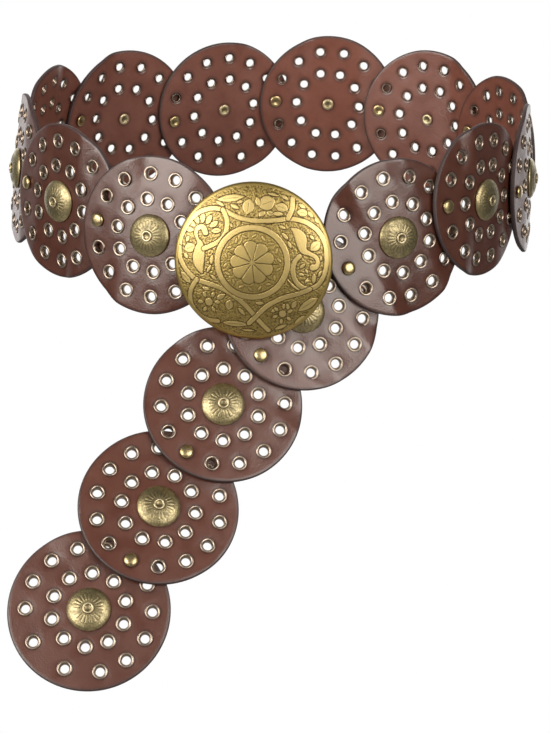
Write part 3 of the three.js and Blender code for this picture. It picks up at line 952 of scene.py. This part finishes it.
def leafDistance(u, v, x, y, length, width, angle):
    # Signed distance from a pointed leaf, and its middle vein
    turn = radians(angle)
    along = (u - x) * cos(turn) + (v - y) * sin(turn)
    across = -(u - x) * sin(turn) + (v - y) * cos(turn)
    share = np.clip(np.abs(along) / (length / 2), 0, 1)
    halfWidth = width / 2 * (1 - share ** 2.2)
    away = np.maximum(np.abs(across) - halfWidth, np.abs(along) - length / 2)
    vein = np.where(share < 0.55, np.abs(across), 9)
    return away, vein


def plateField(u, v):
    # Raised share, engraved line and stippled ground at each point of the plate
    r = np.hypot(u, v)
    angle = np.degrees(np.arctan2(v, u))
    raised = np.zeros(u.shape)
    ink = np.zeros(u.shape)
    width = buckle["inkWidth"]

    def lay(away, strength=1.0):
        nonlocal raised, ink
        keep = 1 - smooth(-away, width, width + 0.25)
        line = 1 - smooth(np.abs(away), width * 0.5, width * 1.3)
        ink = np.maximum(ink * keep, line * strength)
        raised = np.maximum(raised, smooth(-away, -0.1, 0.35))

    fanned = []
    for x, y, distance, length, breadth, first, turn, count in fans:
        for a in np.radians(first + turn * np.arange(count)):
            middle = (x + distance * cos(a), y + distance * sin(a))
            fanned.append((*middle, length, breadth, degrees(a)))
    for leaf in leaves + fanned:
        away, vein = leafDistance(u, v, *leaf)
        lay(away)
        ink = np.maximum(ink, (1 - smooth(vein, 0.06, 0.28)) * 0.6 * (leaf[3] > 3))
    for x, y, size in bosses:
        lay(np.hypot(u - x, v - y) - size)
    for curl in curls:
        lay(strokeDistance(u, v, smoothPath(curl)))
    for ribbon in ribbons:
        lay(strokeDistance(u, v, smoothPath([(x, y, buckle["ribbon"]) for x, y in ribbon])))
    # the middle: a bare ring, a ring of small leaves and the rosette
    outside = r >= buckle["ringOut"] + 0.4
    raised = raised * outside
    ink = ink * outside
    lay(np.maximum(r - buckle["ringOut"], buckle["ringIn"] - r))
    step = 360 / buckle["petals"]
    petalAngle = (angle - buckle["petalTurn"] + step / 2) % step - step / 2
    fromLine = np.abs(r * np.radians(petalAngle))
    tip = buckle["petalTip"] - buckle["petalNotch"] * (1 - 2 * np.abs(petalAngle) / step) ** 3
    lay(r - tip)
    lineEnd = buckle["petalLine"] + 1.6 * np.cos(np.radians(2 * angle + 40))
    lines = (1 - smooth(fromLine, 0.1, 0.36)) * (1 - smooth(r, lineEnd, lineEnd + 0.5)) * smooth(r, 0.8, 1.6)
    ink = np.maximum(ink, lines)
    distance, length, breadth, slant = buckle["smallLeaf"]
    for k in range(buckle["petals"] * 2):
        a = buckle["petalTurn"] + k * step / 2 + step / 4
        slanted = a + (slant if k % 2 else -slant)
        lay(leafDistance(u, v, *polar(distance, a), length, breadth, slanted)[0], 0.7)
    within = np.where(r < buckle["ringIn"], buckle["rosetteShare"], 1)
    edge = buckle["radius"] - buckle["margin"]
    rim = smooth(r, edge - 0.3, edge + 0.1)
    raised = raised * within * (1 - rim)
    ink = ink * (1 - rim) + buckle["marginShade"] * rim
    ground = (1 - raised / within) * (1 - rim) * within
    return raised, ink, ground


def buckleFrame():
    # Frame of the buckle's post, where it stands on the first disc
    return onDisc(0, -belt["rivetRing"], 0) @ moved(0, 0, seat) @ turned("Y", -belt["play"])


def domeAt(r):
    # Height of the plate's dome over its rim
    radius, dome = buckle["radius"], buckle["dome"]
    sphere = (radius ** 2 + dome ** 2) / (2 * dome)
    return np.sqrt(sphere ** 2 - np.minimum(r, radius) ** 2) - sphere + dome


def ceilingAt(r):
    # Height of the middle of the plate's wall, where post and hook end
    return buckle["rimLift"] + buckle["rimHeight"] + float(domeAt(r)) - buckle["wall"] / 2


def plateGrid(cells):
    # Square grid of points folded onto a round plate of radius 1
    line = np.linspace(-1, 1, cells + 1)
    a, b = np.meshgrid(line, line, indexing="ij")
    wide = np.abs(a) > np.abs(b)
    safeA = np.where(a == 0, 1, a)
    safeB = np.where(b == 0, 1, b)
    r = np.where(wide, a, b)
    angle = np.where(wide, pi / 4 * b / safeA, pi / 2 - pi / 4 * a / safeB)
    angle = np.where((a == 0) & (b == 0), 0, angle)
    return np.stack([r * np.cos(angle), r * np.sin(angle)], -1).reshape(-1, 2)


def bucklePlate(place, size):
    # Engraved dome, side wall and inside of the plate, as one closed shell
    cells, radius, wall, low = (size[key] for key in ("cells", "radius", "wall", "rimLift"))
    grid = plateGrid(cells)
    x, y = (grid * radius).T
    # the pattern stands upright as it is worn: local x runs left and local y runs down
    local = place.to_3x3().inverted()
    right = local @ Vector((1, 0, 0))
    lean = atan2(-right.y, -right.x)
    u = -(x * cos(lean) + y * sin(lean))
    v = -(-x * sin(lean) + y * cos(lean))
    raised, ink, ground = plateField(u, v)
    r = np.hypot(x, y)
    over = low + size["rimHeight"]
    stipple = np.array([noise.noise((p * 1.35, q * 1.35, 0.3)) for p, q in zip(x, y)])
    dots = smooth(-stipple, -0.12, 0.12)
    shoulder = np.clip((r - size["shoulderFrom"]) / (radius - size["shoulderFrom"]), 0, 1)
    height = over + domeAt(r) - size["shoulderDrop"] * shoulder ** 2 + size["relief"] * raised
    height = height - size["inkDepth"] * ink - size["groundDepth"] * dots * ground
    height = height - size["edgeDrop"] * smooth(r, radius - 0.9, radius)
    points = [level(grid * radius, height)]
    masks = [np.column_stack([ink, ground * (0.25 + 0.75 * dots), raised])]
    n = cells + 1
    index = np.arange(n * n).reshape(n, n)
    quads = np.stack([index[:-1, :-1], index[1:, :-1], index[1:, 1:], index[:-1, 1:]], -1).reshape(-1, 4)
    faces = [tuple(q) for q in quads]
    border = [*index[:-1, 0], *index[-1, :-1], *index[:0:-1, -1], *index[0, :0:-1]]
    around = len(border)
    ring = grid[border]
    # down the side wall, round the edge and in to the middle
    rows = [(radius, low + 0.22), (radius - 0.12, low + 0.08), (radius - 0.45, low),
            (radius - wall + 0.2, low), (radius - wall, low + 0.5)]
    inside = [share * radius for share in (0.92, 0.78, 0.6, 0.4, 0.2)]
    rows += [(r, over + float(domeAt(r)) - wall) for r in inside]
    chain = [border]
    total = n * n
    for reach, z in rows:
        points.append(level(ring * reach, z))
        masks.append(np.tile((0.15, 0.0, 0.3), (around, 1)))
        chain.append(list(range(total, total + around)))
        total += around
    points.append(np.array([[0, 0, over + size["dome"] - wall]]))
    masks.append(np.array([[0.15, 0, 0.3]]))
    for upper, lower in zip(chain, chain[1:]):
        faces += bridge(upper, lower, True)
    faces += [(a, total, b) for a, b in zip(chain[-1], chain[-1][1:] + chain[-1][:1])]
    return np.concatenate(points) - (size["postToCentre"], size["postDrop"], 0), np.concatenate(masks), faces


def sweep(path, radius, sides):
    # Round bar along a path, with rounded ends
    path = [Vector(p) for p in path]
    last = len(path) - 1
    points = []
    rows = []
    side = (path[1] - path[0]).normalized().orthogonal().normalized()
    rings = [(0, 0.35, -0.85), (0, 0.8, -0.45)] + [(k, 1, 0) for k in range(last + 1)]
    rings += [(last, 0.8, 0.45), (last, 0.35, 0.85)]
    for k, share, ahead in rings:
        along = (path[min(k + 1, last)] - path[max(k - 1, 0)]).normalized()
        side = (side - along * side.dot(along)).normalized()
        other = along.cross(side)
        rows.append(list(range(len(points), len(points) + sides)))
        for j in range(sides):
            a = 2 * pi * j / sides
            offset = side * cos(a) + other * sin(a)
            points.append(path[k] + along * ahead * radius + offset * radius * share)
    faces = [face for low, high in zip(rows, rows[1:]) for face in bridge(low, high)]
    faces += [tuple(reversed(rows[0])), tuple(rows[-1])]
    return np.array([tuple(p) for p in points]), faces


def hookPath(place):
    # The hook's way from the plate through its eyelet and under the leather
    form = discForm(buckle["hookDisc"])
    x, y = polar(belt["innerRing"], buckle["hookPlace"] * 360 / belt["innerPlaces"])
    toBuckle = place.inverted() @ discFrames[buckle["hookDisc"]]

    def inDisc(px, pz):
        return toBuckle @ Vector(shapedPoints(form, [(px, y, pz)])[0])

    bar = buckle["hook"]
    clear = seat + bar
    over = inDisc(x, clear)
    ceiling = ceilingAt(hypot(over.x + buckle["postToCentre"], over.y + buckle["postDrop"]))
    knots = [Vector((over.x, over.y, ceiling)), over, inDisc(x, 0), inDisc(x, -clear),
             inDisc(x + bar, -clear - bar), inDisc(x + buckle["hookReach"], -clear - bar)]
    return smoothPath([tuple(k) for k in knots], 6)


def bucklePiece():
    place = buckleFrame()
    points, masks, faces = bucklePlate(place, buckle)
    front = ceilingAt(buckle["postToCentre"] + buckle["post"])
    back = -2 * seat
    flange, stem, thick = rivet["back"], rivet["stem"], buckle["post"]
    post = [
        (0, back - 0.5), (flange * 0.45, back - 0.5), (flange * 0.6, back - 0.9), (flange * 0.9, back - 0.8),
        (flange, back - 0.35), (flange - 0.1, back), (stem, back), (stem, -0.1), (thick - 0.3, 0),
        (thick, 0.3), (thick, front - 0.8), (thick + 1.2, front + 0.3), (0, front + 0.4),
    ]
    postPoints, postFaces, _ = lathe([(r, z, 0) for r, z in post], rivet["sides"])
    for extraPoints, extraFaces in ((postPoints, postFaces), sweep(hookPath(place), buckle["hook"], 16)):
        faces += shifted(extraFaces, len(points))
        points = np.concatenate([points, extraPoints])
        masks = np.concatenate([masks, np.tile((0.1, 0.0, 0.3), (len(extraPoints), 1))])
    piece = outwardFaces(meshPiece("engraved_buckle", points, faces, place, masks))
    piece.data.materials.append(buckleFinish)
    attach(piece, "root")
    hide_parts("buckle")


bucklePiece()
print("buckle made")
